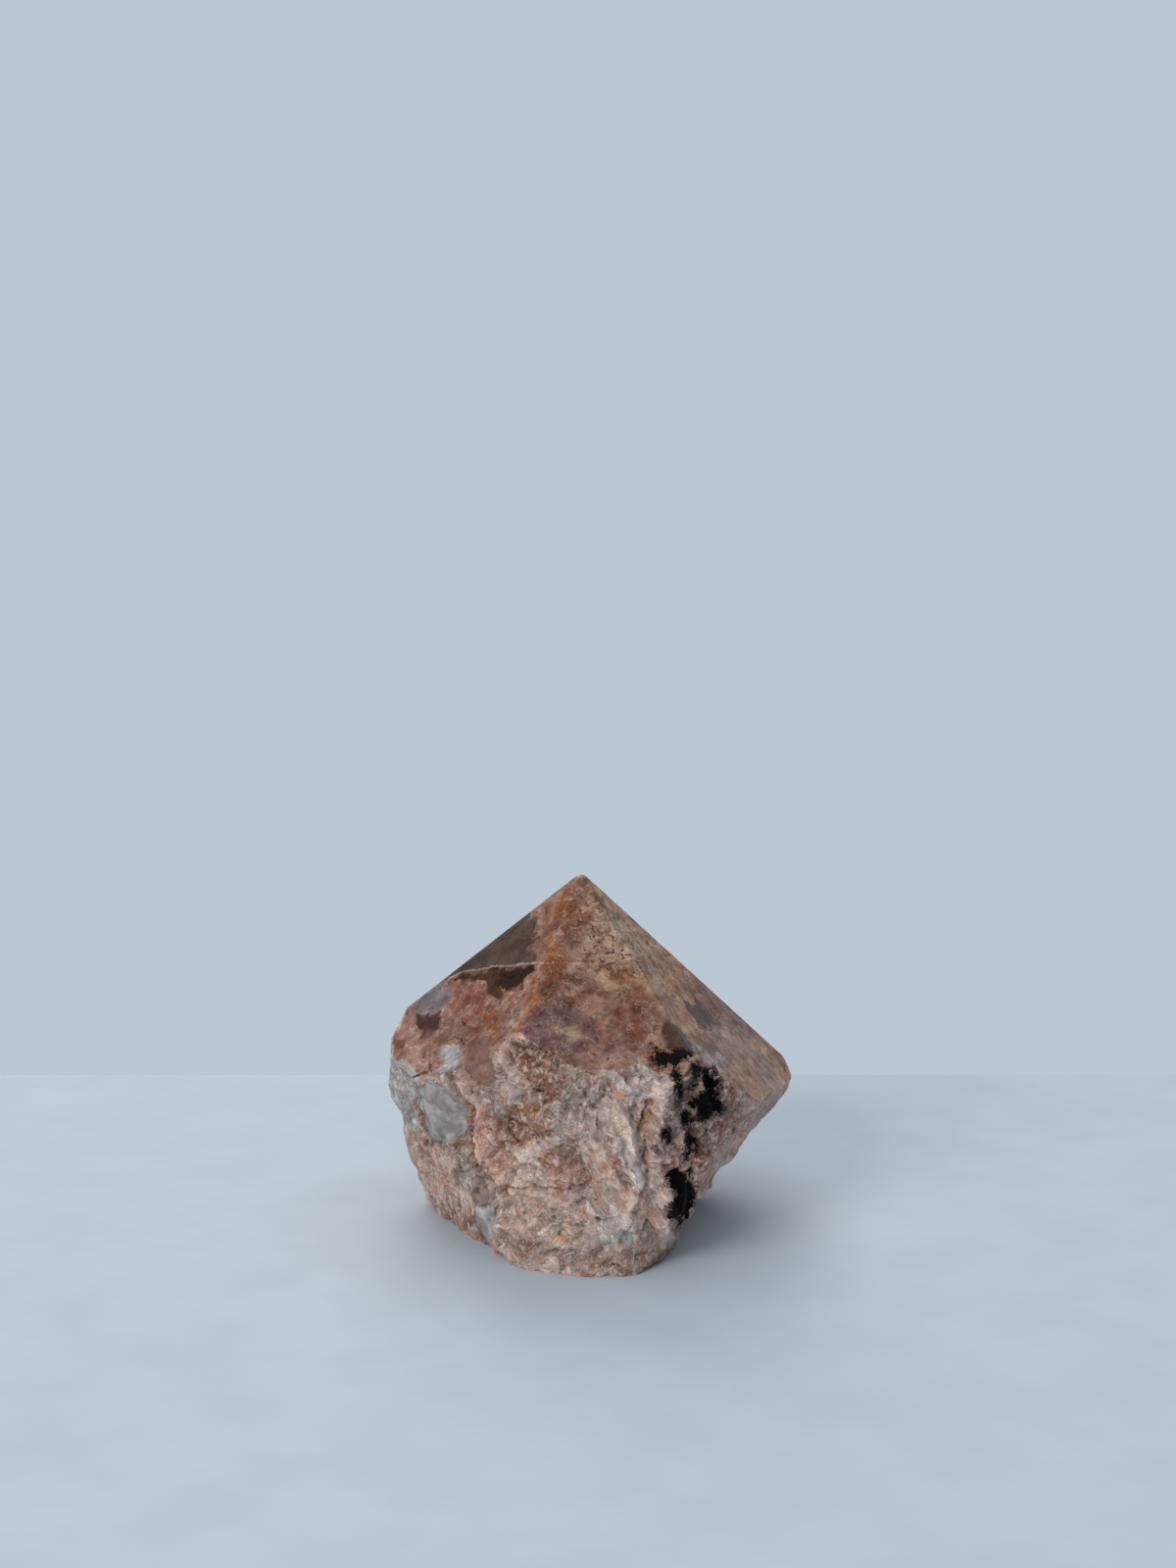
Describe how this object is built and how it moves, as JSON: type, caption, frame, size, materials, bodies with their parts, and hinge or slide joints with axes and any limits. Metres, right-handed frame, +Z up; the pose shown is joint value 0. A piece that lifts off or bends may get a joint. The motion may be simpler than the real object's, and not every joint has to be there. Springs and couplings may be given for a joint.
{
  "type": "rough moonstone point",
  "caption": "Broken lump of peach moonstone with smoky quartz and black tourmaline, ground to a faceted point on top and sawn flat below, for display.",
  "frame": {"origin": "on the sawn foot, at the middle of the footprint box", "axes": "+Z up through the ground point, +X to the right along the longest side, -Y towards the viewer's side with the tourmaline at its right"},
  "size_m": [0.07, 0.058, 0.06],
  "materials": {
    "moonstone": "peach, grey and brown feldspar with black specks: broken sides matt, ground facets of the top polished"
  },
  "bodies": {
    "root": {"moonstone": "moonstone"}
  },
  "joints": []
}
